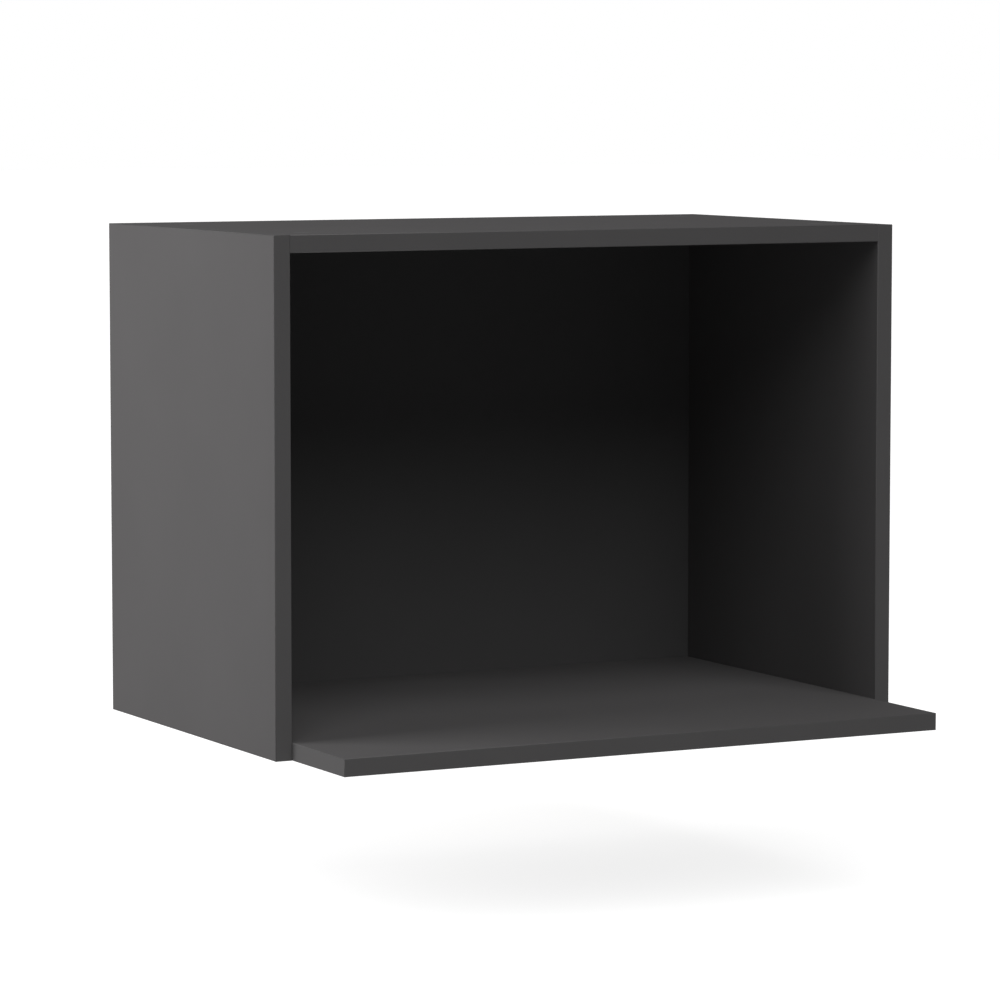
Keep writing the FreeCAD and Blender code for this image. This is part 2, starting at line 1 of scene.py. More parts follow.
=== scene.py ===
# %% [markdown]
# # An open wall cabinet with a deep shelf
#
# The cabinet is a flat-pack box of 15 mm chipboard, faced with matt graphite melamine and closed
# with 1 mm edge bands. Two sides carry a top and a shelf, and the shelf reaches 100 mm further out
# than the sides. A thin sheet closes the back, and two battens behind it hang on the wall.
#
# The construction comes ready-made as a frame: every piece at its real size, with the origin under
# the middle of the cabinet, X to the right, Y to the wall and Z up. This script dresses it, and it
# keeps the frame's box.

# %% Load the frame
import math

import bmesh
import bpy
from mathutils import Matrix, Vector


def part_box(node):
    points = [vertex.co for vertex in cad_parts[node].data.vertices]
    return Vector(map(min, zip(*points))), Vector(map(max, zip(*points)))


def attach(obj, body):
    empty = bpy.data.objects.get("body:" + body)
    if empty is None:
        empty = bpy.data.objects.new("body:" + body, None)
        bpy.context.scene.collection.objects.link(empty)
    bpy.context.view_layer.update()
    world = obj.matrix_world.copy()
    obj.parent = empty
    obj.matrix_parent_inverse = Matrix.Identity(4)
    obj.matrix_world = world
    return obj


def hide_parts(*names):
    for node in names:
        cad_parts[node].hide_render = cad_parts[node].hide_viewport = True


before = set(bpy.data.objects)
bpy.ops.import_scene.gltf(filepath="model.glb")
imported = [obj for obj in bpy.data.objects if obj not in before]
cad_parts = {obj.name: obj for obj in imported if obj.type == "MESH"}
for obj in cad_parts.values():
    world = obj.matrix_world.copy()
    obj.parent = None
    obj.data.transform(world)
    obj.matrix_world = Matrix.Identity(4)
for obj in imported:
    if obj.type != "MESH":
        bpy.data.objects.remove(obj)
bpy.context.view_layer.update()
MM = 0.001

# %% [markdown]
# ## The camera
#
# The picture was taken from the front left, a little above the cabinet, with a long lens: upright
# edges stay upright and the far edges are hardly shorter than the near ones. Straight edges of the
# cabinet give the camera's place and direction. A long lens far away draws this calm perspective,
# and a short lens close by would not.

# %% Camera
CAMERA_PLACE = (-1.8174, -3.4328, 0.5609)
CAMERA_LENS = 159.51
CAMERA_DIP = math.radians(5.388)
CAMERA_TURN = math.radians(27.567)

camera = bpy.data.objects.new("camera", bpy.data.cameras.new("camera"))
camera.data.lens = CAMERA_LENS
camera.location = CAMERA_PLACE
camera.rotation_euler = (math.pi / 2 - CAMERA_DIP, 0, -CAMERA_TURN)
bpy.context.scene.collection.objects.link(camera)
bpy.context.scene.camera = camera
print("camera", round(Vector(CAMERA_PLACE).length, 2), "m away, lens", CAMERA_LENS, "mm")

# %% [markdown]
# ## Studio
#
# The light is plain. A broad panel from the upper left makes the outer side the brightest face, a
# little brighter at the top than at the foot. A wide sky lamp from above and in front lights the
# top and, weaker, the front edges, and a faint lamp behind keeps the back readable. Little light
# reaches the bay, which stays nearly black at the top.
#
# A sun lamp is even from end to end. Only the side lamp is an area lamp close by, because it has to
# fade towards the foot.

# %% Lamps
def aim(lamp, place, target):
    """Puts a lamp in its place and turns it to a point."""
    lamp.location = place
    lamp.rotation_euler = (Vector(target) - Vector(place)).to_track_quat("-Z", "Y").to_euler()


def sun(name, strength, spread, place):
    """A very distant lamp, whose angle in degrees makes its shadows soft."""
    lamp = bpy.data.objects.new(name, bpy.data.lights.new(name, "SUN"))
    lamp.data.energy = strength
    lamp.data.angle = math.radians(spread)
    aim(lamp, place, (0, 0, 0))
    bpy.context.scene.collection.objects.link(lamp)


def panel(name, watts, size, place, target):
    """A square light panel near the cabinet, which lights what is nearer to it a little more."""
    lamp = bpy.data.objects.new(name, bpy.data.lights.new(name, "AREA"))
    lamp.data.energy = watts
    lamp.data.size = size
    aim(lamp, place, target)
    bpy.context.scene.collection.objects.link(lamp)


SKY_FROM, SKY_SPREAD, SKY_STRENGTH = (-0.15, -0.62, 0.78), 50, 1.93
BACK_FROM, BACK_SPREAD, BACK_STRENGTH = (0.5, 1, 0.5), 60, 0.8
SIDE_PLACE, SIDE_TARGET = (-1.8, 0.25, 0.85), (-0.3, 0.05, 0.25)
SIDE_SIZE, SIDE_WATTS = 1.2, 34.5
sun("sky_lamp", SKY_STRENGTH, SKY_SPREAD, SKY_FROM)
sun("back_lamp", BACK_STRENGTH, BACK_SPREAD, BACK_FROM)
panel("side_lamp", SIDE_WATTS, SIDE_SIZE, SIDE_PLACE, SIDE_TARGET)
print("lamps", [lamp.name for lamp in bpy.data.lights])

# %% [markdown]
# ## White room
#
# The background is white because the camera sees the world and the floor as white, not because
# more light falls on the cabinet. For the lamps the world is dim and the floor only pale.
#
# Worlds and materials are networks of shader nodes. Two helpers keep the cells short: one adds a
# node with its settings and values, and one joins two sockets. The Light Path node tells the rays
# apart, and a Mix Shader gives each kind its own answer.

# %% World
WHITE = (1, 1, 1, 1)
AMBIENT = 0.12


def add(tree, kind, values=None, **settings):
    """A new node, with its settings and the values of its inputs."""
    node = tree.nodes.new(kind)
    for name, value in settings.items():
        setattr(node, name, value)
    for name, value in (values or {}).items():
        node.inputs[name].default_value = value
    return node


def join(tree, source, output, target, slot):
    """Joins an output socket to an input socket."""
    tree.links.new(source.outputs[output], target.inputs[slot])


def sees_background(tree):
    """1 for rays that should find a white background: from the camera, in gloss and through glass."""
    path = add(tree, "ShaderNodeLightPath")
    either = add(tree, "ShaderNodeMath", operation="MAXIMUM")
    any_of = add(tree, "ShaderNodeMath", operation="MAXIMUM")
    join(tree, path, "Is Camera Ray", either, 0)
    join(tree, path, "Is Glossy Ray", either, 1)
    join(tree, either, 0, any_of, 0)
    join(tree, path, "Is Transmission Ray", any_of, 1)
    return any_of


world = bpy.data.worlds.new("white_room")
bpy.context.scene.world = world
world.use_nodes = True
tree = world.node_tree
tree.nodes.clear()
dim = add(tree, "ShaderNodeBackground", {"Color": WHITE, "Strength": AMBIENT})
white = add(tree, "ShaderNodeBackground", {"Color": WHITE, "Strength": 1})
mix = add(tree, "ShaderNodeMixShader")
join(tree, sees_background(tree), 0, mix, 0)
join(tree, dim, 0, mix, 1)
join(tree, white, 0, mix, 2)
join(tree, mix, 0, add(tree, "ShaderNodeOutputWorld"), "Surface")
print("world strength", AMBIENT, "for light and 1 for the camera")

# %% [markdown]
# The cabinet hangs, so the floor lies 150 mm below it and catches only a faint, soft shadow. Seen
# from below, the floor is see-through, or it would hide the cabinet's underside: the view meets the
# floor's back there, which Backfacing tells. To the camera the floor adds a glow to its grey, so it
# turns white, and the shadow takes a little of that away.

# %% Floor
FLOOR_SIZE = 60
FLOOR_BELOW = 0.15
FLOOR_GREY = (0.4, 0.4, 0.4, 1)
FLOOR_GLOW = 0.8


def blank(name):
    """A new material with an output and nothing else."""
    material = bpy.data.materials.new(name)
    material.use_nodes = True
    tree = material.node_tree
    tree.nodes.clear()
    return material, tree, add(tree, "ShaderNodeOutputMaterial")


floor_paint, tree, end = blank("pale_floor")
grey = add(tree, "ShaderNodeBsdfDiffuse", {"Color": FLOOR_GREY})
glow = add(tree, "ShaderNodeEmission", {"Color": WHITE, "Strength": FLOOR_GLOW})
both = add(tree, "ShaderNodeAddShader")
mix = add(tree, "ShaderNodeMixShader")
join(tree, grey, 0, both, 0)
join(tree, glow, 0, both, 1)
join(tree, sees_background(tree), 0, mix, 0)
join(tree, grey, 0, mix, 1)
join(tree, both, 0, mix, 2)
side = add(tree, "ShaderNodeNewGeometry")
clear = add(tree, "ShaderNodeBsdfTransparent")
one_way = add(tree, "ShaderNodeMixShader")
join(tree, side, "Backfacing", one_way, 0)
join(tree, mix, 0, one_way, 1)
join(tree, clear, 0, one_way, 2)
join(tree, one_way, 0, end, "Surface")

bm = bmesh.new()
made = bmesh.ops.create_grid(bm, x_segments=1, y_segments=1, size=FLOOR_SIZE / 2)
bmesh.ops.translate(bm, vec=(0, 0, -FLOOR_BELOW), verts=made["verts"])
floor = bpy.data.objects.new("floor", bpy.data.meshes.new("floor"))
bm.to_mesh(floor.data)
bm.free()
floor.data.materials.append(floor_paint)
bpy.context.scene.collection.objects.link(floor)
bpy.context.scene.view_settings.view_transform = "Standard"
print("floor", FLOOR_SIZE, "m wide,", FLOOR_BELOW, "m below the cabinet")

# %% [markdown]
# ## Effects that several finishes share
#
# Even a plain grey board isn't one flat colour. Its decor paper is faintly cloudy, and its pressed
# face has a fine grain that breaks up the gloss. These effects are node groups with named inputs
# and outputs, so each finish can use them at its own scale. A group gives colours and heights only,
# and the shader stays in the material.

# %% Cloudy tone
COLOUR, VALUE, VECTOR = "NodeSocketColor", "NodeSocketFloat", "NodeSocketVector"


def new_group(name, inputs, outputs):
    """An empty node group with named sockets: (name, kind, default)."""
    group = bpy.data.node_groups.new(name, "ShaderNodeTree")
    for socket, kind, default in inputs:
        made = group.interface.new_socket(socket, in_out="INPUT", socket_type=kind)
        if default is not None:
            made.default_value = default
    for socket, kind in outputs:
        group.interface.new_socket(socket, in_out="OUTPUT", socket_type=kind)
    return group, add(group, "NodeGroupInput"), add(group, "NodeGroupOutput")


cloudy, start, end = new_group(
    "cloudy tone",
    [("Vector", VECTOR, None), ("Color", COLOUR, None), ("Clouds per metre", VALUE, 10.0),
     ("Change", VALUE, 0.05)],
    [("Color", COLOUR)],
)
noise = add(cloudy, "ShaderNodeTexNoise", {"Detail": 3.0, "Roughness": 0.55})
centred = add(cloudy, "ShaderNodeMath", {1: 0.5}, operation="SUBTRACT")
change = add(cloudy, "ShaderNodeMath", operation="MULTIPLY")
factor = add(cloudy, "ShaderNodeMath", {1: 1.0}, operation="ADD")
scaled = add(cloudy, "ShaderNodeVectorMath", operation="SCALE")
join(cloudy, start, "Vector", noise, "Vector")
join(cloudy, start, "Clouds per metre", noise, "Scale")
join(cloudy, noise, "Fac", centred, 0)
join(cloudy, centred, 0, change, 0)
join(cloudy, start, "Change", change, 1)
join(cloudy, change, 0, factor, 0)
join(cloudy, start, "Color", scaled, 0)
join(cloudy, factor, 0, scaled, "Scale")
join(cloudy, scaled, 0, end, "Color")
print("group", cloudy.name, "with", len(cloudy.nodes), "nodes")

# %% Pressed grain
grain, start, end = new_group(
    "pressed grain",
    [("Vector", VECTOR, None), ("Grains per metre", VALUE, 2500.0), ("Gloss", VALUE, 0.5),
     ("Gloss change", VALUE, 0.1)],
    [("Height", VALUE), ("Roughness", VALUE)],
)
noise = add(grain, "ShaderNodeTexNoise", {"Detail": 2.0, "Roughness": 0.6})
centred = add(grain, "ShaderNodeMath", {1: 0.5}, operation="SUBTRACT")
change = add(grain, "ShaderNodeMath", operation="MULTIPLY")
gloss = add(grain, "ShaderNodeMath", operation="ADD")
join(grain, start, "Vector", noise, "Vector")
join(grain, start, "Grains per metre", noise, "Scale")
join(grain, noise, "Fac", centred, 0)
join(grain, centred, 0, change, 0)
join(grain, start, "Gloss change", change, 1)
join(grain, change, 0, gloss, 0)
join(grain, start, "Gloss", gloss, 1)
join(grain, noise, "Fac", end, "Height")
join(grain, gloss, 0, end, "Roughness")
print("group", grain.name, "with", len(grain.nodes), "nodes")

# %% [markdown]
# ## Chipboard
#
# Where a board isn't banded, its core shows: coarse flat chips in the middle, finer ones near both
# faces. Flattened cells of a Voronoi texture make the chips, each with its own tone of wood and
# ragged by a little noise, and a stretched noise draws the wood's fibres over them. A thin dark line
# along each face is the decor paper, cut through. The group wants coordinates that start at the
# board's mid-plane, with Z across its thickness.
#
# A Mix node has a set of sockets for each kind of value, all with the same names, so the ones for
# colours and for numbers are told apart by their places.

# %% Chips
COLOUR_A, COLOUR_B, MIXED_COLOUR = 6, 7, 2
VALUE_A, VALUE_B = 2, 3
COARSE_TO = 5 * MM
COARSE_CHIPS = (260, 260, 1100)
FINE_CHIPS = (1100, 1100, 2600)
RAGGED = 0.9
CHIP_TONES = [
    (0.0, (0.13, 0.07, 0.035, 1)),
    (0.25, (0.33, 0.2, 0.105, 1)),
    (0.7, (0.5, 0.34, 0.2, 1)),
    (1.0, (0.66, 0.5, 0.33, 1)),
]


def tone_ramp(tree, tones):
    """A colour ramp through (place, colour) pairs."""
    node = add(tree, "ShaderNodeValToRGB")
    stops = node.color_ramp.elements
    stops[0].position, stops[0].color = tones[0]
    stops[-1].position, stops[-1].color = tones[-1]
    for place, colour in tones[1:-1]:
        stops.new(place).color = colour
    return node


def chip_layer(tree, source, density):
    """Flat chips with a tone each; gives the tone and the distance from each chip's middle."""
    squeeze = add(tree, "ShaderNodeVectorMath", {1: density}, operation="MULTIPLY")
    noise = add(tree, "ShaderNodeTexNoise", {"Scale": 1.7, "Detail": 3.0})
    centred = add(tree, "ShaderNodeVectorMath", {1: (0.5, 0.5, 0.5)}, operation="SUBTRACT")
    ragged = add(tree, "ShaderNodeVectorMath", {"Scale": RAGGED}, operation="SCALE")
    moved = add(tree, "ShaderNodeVectorMath", operation="ADD")
    cells = add(tree, "ShaderNodeTexVoronoi", {"Scale": 1.0, "Randomness": 1.0})
    tone = add(tree, "ShaderNodeSeparateColor")
    ramp = tone_ramp(tree, CHIP_TONES)
    join(tree, source, "Vector", squeeze, 0)
    join(tree, squeeze, 0, noise, "Vector")
    join(tree, noise, "Color", centred, 0)
    join(tree, centred, 0, ragged, 0)
    join(tree, squeeze, 0, moved, 0)
    join(tree, ragged, 0, moved, 1)
    join(tree, moved, 0, cells, "Vector")
    join(tree, cells, "Color", tone, 0)
    join(tree, tone, 0, ramp, 0)
    return ramp, cells


chips, start, end = new_group(
    "chip core", [("Vector", VECTOR, None)], [("Color", COLOUR), ("Height", VALUE)]
)
coarse, coarse_cells = chip_layer(chips, start, COARSE_CHIPS)
fine, fine_cells = chip_layer(chips, start, FINE_CHIPS)
split = add(chips, "ShaderNodeSeparateXYZ")
depth = add(chips, "ShaderNodeMath", operation="ABSOLUTE")
near_face = add(chips, "ShaderNodeMapRange",
                {"From Min": COARSE_TO - MM, "From Max": COARSE_TO + MM})
colours = add(chips, "ShaderNodeMix", data_type="RGBA")
heights = add(chips, "ShaderNodeMix", data_type="FLOAT")
join(chips, start, "Vector", split, 0)
join(chips, split, "Z", depth, 0)
join(chips, depth, 0, near_face, "Value")
join(chips, near_face, 0, colours, 0)
join(chips, coarse, "Color", colours, COLOUR_A)
join(chips, fine, "Color", colours, COLOUR_B)
join(chips, near_face, 0, heights, 0)
join(chips, coarse_cells, "Distance", heights, VALUE_A)
join(chips, fine_cells, "Distance", heights, VALUE_B)
join(chips, heights, 0, end, "Height")
print("chips", CHIP_TONES[0][1][:3], "to", CHIP_TONES[-1][1][:3])

# %% Fibres over the chips
FIBRES = (700, 2200, 5200)
FIBRE_CHANGE = (0.78, 1.14)

squeeze = add(chips, "ShaderNodeVectorMath", {1: FIBRES}, operation="MULTIPLY")
noise = add(chips, "ShaderNodeTexNoise", {"Scale": 1.0, "Detail": 4.0, "Roughness": 0.6})
tone = add(chips, "ShaderNodeMapRange", {"From Min": 0.3, "From Max": 0.7,
                                         "To Min": FIBRE_CHANGE[0], "To Max": FIBRE_CHANGE[1]})
scaled = add(chips, "ShaderNodeVectorMath", operation="SCALE")
join(chips, start, "Vector", squeeze, 0)
join(chips, squeeze, 0, noise, "Vector")
join(chips, noise, "Fac", tone, "Value")
join(chips, colours, MIXED_COLOUR, scaled, 0)
join(chips, tone, 0, scaled, "Scale")
print("fibres change a chip's tone by", FIBRE_CHANGE)

# %% Decor paper at the faces
PAPER = (0.05, 0.047, 0.045, 1)
PAPER_FROM = 7.2 * MM
PAPER_BLUR = 0.05 * MM

is_paper = add(chips, "ShaderNodeMapRange",
               {"From Min": PAPER_FROM, "From Max": PAPER_FROM + PAPER_BLUR})
papered = add(chips, "ShaderNodeMix", {COLOUR_B: PAPER}, data_type="RGBA")
join(chips, depth, 0, is_paper, "Value")
join(chips, is_paper, 0, papered, 0)
join(chips, scaled, 0, papered, COLOUR_A)
join(chips, papered, MIXED_COLOUR, end, "Color")
print("group", chips.name, "with", len(chips.nodes), "nodes")

# %% [markdown]
# ## Finishes
#
# All finishes read Object coordinates, which are metres in the cabinet's own frame, because every
# piece keeps its place in its mesh. So a grain of 0.4 mm is 2500 grains a metre on every board.
#
# `finish` makes the usual chain for a plain material: a cloudy colour, a grained gloss and a bump
# from the same grain. The graphite ones have no mirror gloss at all. The top is seen at two degrees,
# and at such a grazing angle even a faint gloss would mirror the white room and turn it pale.

# %% Graphite finishes
def finish(name, colour, roughness, specular, clouds=9.0, cloud_change=0.1, grains=2500.0,
           gloss_change=0.15, bump=0.02, stretch=(1, 1, 1), metallic=0.0):
    """A material with a cloudy colour and a fine grain; bump is the grain's height in millimetres."""
    material, tree, end = blank(name)
    place = add(tree, "ShaderNodeTexCoord")
    mapped = add(tree, "ShaderNodeMapping", {"Scale": stretch})
    tone = add(tree, "ShaderNodeGroup", {"Color": (*colour, 1), "Clouds per metre": clouds,
                                         "Change": cloud_change}, node_tree=cloudy)
    skin = add(tree, "ShaderNodeGroup", {"Grains per metre": grains, "Gloss": roughness,
                                         "Gloss change": gloss_change}, node_tree=grain)
    relief = add(tree, "ShaderNodeBump", {"Strength": 1.0, "Distance": bump * MM})
    shader = add(tree, "ShaderNodeBsdfPrincipled",
                 {"Specular IOR Level": specular, "Metallic": metallic})
    join(tree, place, "Object", mapped, "Vector")
    join(tree, place, "Object", tone, "Vector")
    join(tree, mapped, "Vector", skin, "Vector")
    join(tree, tone, "Color", shader, "Base Color")
    join(tree, skin, "Roughness", shader, "Roughness")
    join(tree, skin, "Height", relief, "Height")
    join(tree, relief, "Normal", shader, "Normal")
    join(tree, shader, "BSDF", end, "Surface")
    return material


GRAPHITE = (0.0885, 0.0858, 0.0868)
GRAPHITE_BAND = (0.0885, 0.0864, 0.0872)
GRAPHITE_BACK = (0.074, 0.0728, 0.0736)
GRAPHITE_CAP = (0.105, 0.1035, 0.105)
DEAD_MATT = 0.0
melamine = finish("graphite_melamine", GRAPHITE, 0.9, DEAD_MATT)
band_plastic = finish("graphite_band", GRAPHITE_BAND, 0.8, DEAD_MATT, grains=900.0)
back_lacquer = finish("graphite_lacquer", GRAPHITE_BACK, 0.9, DEAD_MATT)
cap_plastic = finish("graphite_cap", GRAPHITE_CAP, 0.8, DEAD_MATT, grains=4000.0, bump=0.03)
print("graphite", [round(part, 3) for part in GRAPHITE])

# %% [markdown]
# The fittings are cast zinc, plated steel and beech. Where the grain has a direction, the Mapping
# node stretches it: round the bolts, which are turned, and along the dowels, whose fibres run
# lengthwise. Bolts and dowels all lie along X, so one stretch does for each kind.

# %% Fittings
zinc = finish("cast_zinc", (0.36, 0.365, 0.375), 0.5, 0.5, clouds=300.0, cloud_change=0.25,
              grains=4000.0, bump=0.03, metallic=1.0)
steel = finish("plated_steel", (0.62, 0.61, 0.58), 0.3, 0.5, grains=6000.0, bump=0.01,
               stretch=(1, 0.05, 0.05), metallic=1.0)
beech = finish("raw_beech", (0.6, 0.42, 0.26), 0.7, 0.2, clouds=60.0, cloud_change=0.3,
               grains=5000.0, bump=0.05, stretch=(0.08, 1, 1))
print("fittings in", [material.name for material in (zinc, steel, beech)])

# %% [markdown]
# Hardboard is wood ground to fibres and pressed hot into a thin dark sheet. Bare, it is brown with
# short matted fibres in every direction and a few darker specks of bark. A distorted noise curls
# into such fibres, and a coarser one, cut off high, leaves the specks.

# %% Raw hardboard
SHEET_TONES = [
    (0.3, (0.15, 0.088, 0.047, 1)),
    (0.5, (0.22, 0.135, 0.075, 1)),
    (0.72, (0.3, 0.195, 0.115, 1)),
]
FIBRES_PER_METRE = 650.0
SHEET_RELIEF = 0.08 * MM
BARK = (0.09, 0.05, 0.028, 1)
SPECKS_PER_METRE = 420.0
SPECK_CUT = (0.66, 0.72)

raw_sheet, tree, end = blank("raw_hardboard")
place = add(tree, "ShaderNodeTexCoord")
fibres = add(tree, "ShaderNodeTexNoise",
             {"Scale": FIBRES_PER_METRE, "Detail": 6.0, "Roughness": 0.65, "Distortion": 2.5})
ramp = tone_ramp(tree, SHEET_TONES)
even = add(tree, "ShaderNodeGroup", {"Clouds per metre": 14.0, "Change": 0.18}, node_tree=cloudy)
speck = add(tree, "ShaderNodeTexNoise", {"Scale": SPECKS_PER_METRE, "Detail": 2.0})
is_speck = add(tree, "ShaderNodeMapRange", {"From Min": SPECK_CUT[0], "From Max": SPECK_CUT[1]})
colour = add(tree, "ShaderNodeMix", {COLOUR_B: BARK}, data_type="RGBA")
relief = add(tree, "ShaderNodeBump", {"Strength": 1.0, "Distance": SHEET_RELIEF})
shader = add(tree, "ShaderNodeBsdfPrincipled", {"Roughness": 0.75, "Specular IOR Level": 0.2})
for texture in (fibres, speck, even):
    join(tree, place, "Object", texture, "Vector")
join(tree, fibres, "Fac", ramp, 0)
join(tree, ramp, "Color", even, "Color")
join(tree, speck, "Fac", is_speck, "Value")
join(tree, is_speck, 0, colour, 0)
join(tree, even, "Color", colour, COLOUR_A)
join(tree, colour, MIXED_COLOUR, shader, "Base Color")
join(tree, fibres, "Fac", relief, "Height")
join(tree, relief, "Normal", shader, "Normal")
join(tree, shader, "BSDF", end, "Surface")
print("hardboard", len(tree.nodes), "nodes")

# %% [markdown]
# The core is the same on all boards, but its chips lie flat in each board's own plane. A subtraction
# moves the pattern to the board's mid-plane, and then a Mapping node turns the thin direction to Z.

# %% Chipboard for one board
AXES = "xyz"
CHIP_RELIEF = 0.15 * MM
TURN_TO_Z = {"x": (0, -math.pi / 2, 0), "y": (math.pi / 2, 0, 0), "z": (0, 0, 0)}


def chipboard(name, thin, middle):
    """The raw core of a board whose thickness runs along the axis thin about a middle."""
    material, tree, end = blank(name)
    place = add(tree, "ShaderNodeTexCoord")
    centred = add(tree, "ShaderNodeVectorMath", operation="SUBTRACT")
    centred.inputs[1].default_value = [middle * (thin == axis) for axis in AXES]
    turned = add(tree, "ShaderNodeMapping", {"Rotation": TURN_TO_Z[thin]})
    core = add(tree, "ShaderNodeGroup", node_tree=chips)
    relief = add(tree, "ShaderNodeBump", {"Strength": 1.0, "Distance": CHIP_RELIEF})
    shader = add(tree, "ShaderNodeBsdfPrincipled", {"Roughness": 0.85, "Specular IOR Level": 0.15})
    join(tree, place, "Object", centred, 0)
    join(tree, centred, 0, turned, "Vector")
    join(tree, turned, "Vector", core, "Vector")
    join(tree, core, "Color", shader, "Base Color")
    join(tree, core, "Height", relief, "Height")
    join(tree, relief, "Normal", shader, "Normal")
    join(tree, shader, "BSDF", end, "Surface")
    return material


print("a board's core can lie across", ", ".join(TURN_TO_Z))

# %% [markdown]
# ## Back sheet
#
# The back is 3 mm hardboard, lacquered graphite on the side that faces the bay and raw brown on the
# side that faces the wall. It starts as a cube that is scaled and moved between two corners from the
# frame, as every sawn board here does. A face that looks forward gets the lacquer, and the others
# stay raw. `MOSTLY` says how nearly a direction has to follow an axis to count as along it.
#
# A piece becomes an object only when its mesh is finished, and it stays at the origin: its place is
# in its mesh.

# %% Back sheet
MOSTLY = 0.9


def block(bm, low, high):
    """Adds a closed block between two corners, and gives its faces."""
    made = bmesh.ops.create_cube(bm, size=1)
    bmesh.ops.scale(bm, vec=Vector(high) - Vector(low), verts=made["verts"])
    bmesh.ops.translate(bm, vec=(Vector(high) + Vector(low)) / 2, verts=made["verts"])
    return {face for vert in made["verts"] for face in vert.link_faces}


def new_object(name, bm, materials):
    """An object from a finished mesh."""
    bmesh.ops.recalc_face_normals(bm, faces=bm.faces)
    item = bpy.data.objects.new(name, bpy.data.meshes.new(name))
    bm.to_mesh(item.data)
    bm.free()
    for material in materials:
        item.data.materials.append(material)
    bpy.context.scene.collection.objects.link(item)
    return item


sheet_low, sheet_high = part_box("back_panel")
bm = bmesh.new()
for face in block(bm, sheet_low, sheet_high):
    face.normal_update()
    face.material_index = int(face.normal.y > -MOSTLY)
sheet = new_object("back_sheet", bm, [back_lacquer, raw_sheet])
print("sheet", [round(side / MM, 1) for side in sheet_high - sheet_low], "mm")

# %% [markdown]
# The sheet has a round hole for a cord. At the wall screws it is still whole.
#
# Drilling is a Boolean: a cutter holds a peg for every hole, and what it overlaps is taken away. A
# Boolean is right here because bores run into each other inside the boards that follow, where an
# inset could not go. Pegs of one cutter cross as well, so it has to allow for its own overlaps. The
# cut faces take the cutter's material, so every hole shows the raw core.
#
# A finished piece rides on the cabinet's only body and stands for the node whose place it takes.

# %% Hole for a cord
CORD_HOLE = 60 * MM
CORD_ASIDE = -190 * MM
CORD_UP = 140 * MM
CORD_SIDES = 96
PAST = 1 * MM


def peg(bm, centre, axis, radius, start, stop, sides=48):
    """Adds a round peg along an axis, from start to stop."""
    made = bmesh.ops.create_cone(bm, cap_ends=True, cap_tris=False, segments=sides,
                                 radius1=radius, radius2=radius, depth=stop - start)
    direction = Vector([float(name == axis) for name in AXES])
    turn = Vector((0, 0, 1)).rotation_difference(direction).to_matrix()
    bmesh.ops.rotate(bm, cent=(0, 0, 0), matrix=turn, verts=made["verts"])
    place = Vector(centre)
    place[AXES.index(axis)] = (start + stop) / 2
    bmesh.ops.translate(bm, vec=place, verts=made["verts"])
    for face in {face for vert in made["verts"] for face in vert.link_faces}:
        face.smooth = len(face.verts) == 4


def carve(item, cutter):
    """Takes a cutter away from an object for good, and removes the cutter."""
    drill = item.modifiers.new("drill", "BOOLEAN")
    drill.operation = "DIFFERENCE"
    drill.solver = "EXACT"
    drill.use_self = True
    drill.material_mode = "TRANSFER"
    drill.object = cutter
    graph = bpy.context.evaluated_depsgraph_get()
    carved = bpy.data.meshes.new_from_object(item.evaluated_get(graph))
    item.modifiers.clear()
    item.data = carved
    carved.name = item.name
    bpy.data.objects.remove(cutter)


def settle(item, node):
    """Lets a finished piece ride on the cabinet in the place of its node."""
    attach(item, "root")
    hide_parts(node)
    print(item.name, "stands for", node, "with", len(item.data.polygons), "faces")


shapes = bmesh.new()
peg(shapes, (CORD_ASIDE, 0, CORD_UP), "y", CORD_HOLE / 2, sheet_low.y - PAST,
    sheet_high.y + PAST, CORD_SIDES)
carve(sheet, new_object("cutter", shapes, [raw_sheet]))
settle(sheet, "back_panel")

# %% [markdown]
# ## Where the holes are
#
# Every fitting is a node of four copies, so the corners of a node's box give the four places. Bolts
# and dowels lie along X in the ends of the boards, and cam locks stand square to their board.

# %% Places of the fittings
CAM_BORE = 15 * MM
CAM_PLAY = 0.1 * MM
CAM_RADIUS = CAM_BORE / 2 - CAM_PLAY
JOINED = ("top", "base", "batten")


def along_x(node):
    """Where the bolts or dowels of a node run: two lines along X, through these points."""
    low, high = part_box(node)
    radius = min(high.y - low.y, high.z - low.z) / 2
    return [(0, low.y + radius, low.z + radius), (0, high.y - radius, high.z - radius)]


def cam_spots(node):
    """The axes of the four cam locks of a node."""
    low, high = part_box(node)
    if high.z - low.z > high.y - low.y:
        return [(x, 0, z) for x in (low.x + CAM_RADIUS, high.x - CAM_RADIUS)
                for z in (low.z + CAM_RADIUS, high.z - CAM_RADIUS)]
    return [(x, y, 0) for x in (low.x + CAM_RADIUS, high.x - CAM_RADIUS)
            for y in (low.y + CAM_RADIUS, high.y - CAM_RADIUS)]


for group in JOINED:
    spots = cam_spots(group + "_cam_locks")
    print(group, "cam locks at", [[round(part / MM) for part in spot] for spot in spots])

# %% [markdown]
# ## Boards
#
# The two big faces of a board are melamine and its sawn edges are bare chipboard. No real edge is
# perfectly sharp, so a bevel eases it. It is only 0.15 mm: enough for a hairline where a board meets
# its band or its neighbour. It takes the melamine, whose paper reaches to the very corner, so the
# hairline stays dark.

# %% Board helper
BOARD_EASE = 0.15 * MM
inner_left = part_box("left_side_panel")[1].x
inner_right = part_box("right_side_panel")[0].x


def ease(bm, edges, width, steps):
    """Rounds edges with a bevel, shades the rounding smooth and gives its faces."""
    made = bmesh.ops.bevel(bm, geom=list(edges), offset=width, offset_type="OFFSET", affect="EDGES",
                           segments=steps, profile=0.5, material=-1, clamp_overlap=True)
    for face in made["faces"]:
        face.smooth = True
    return made["faces"]


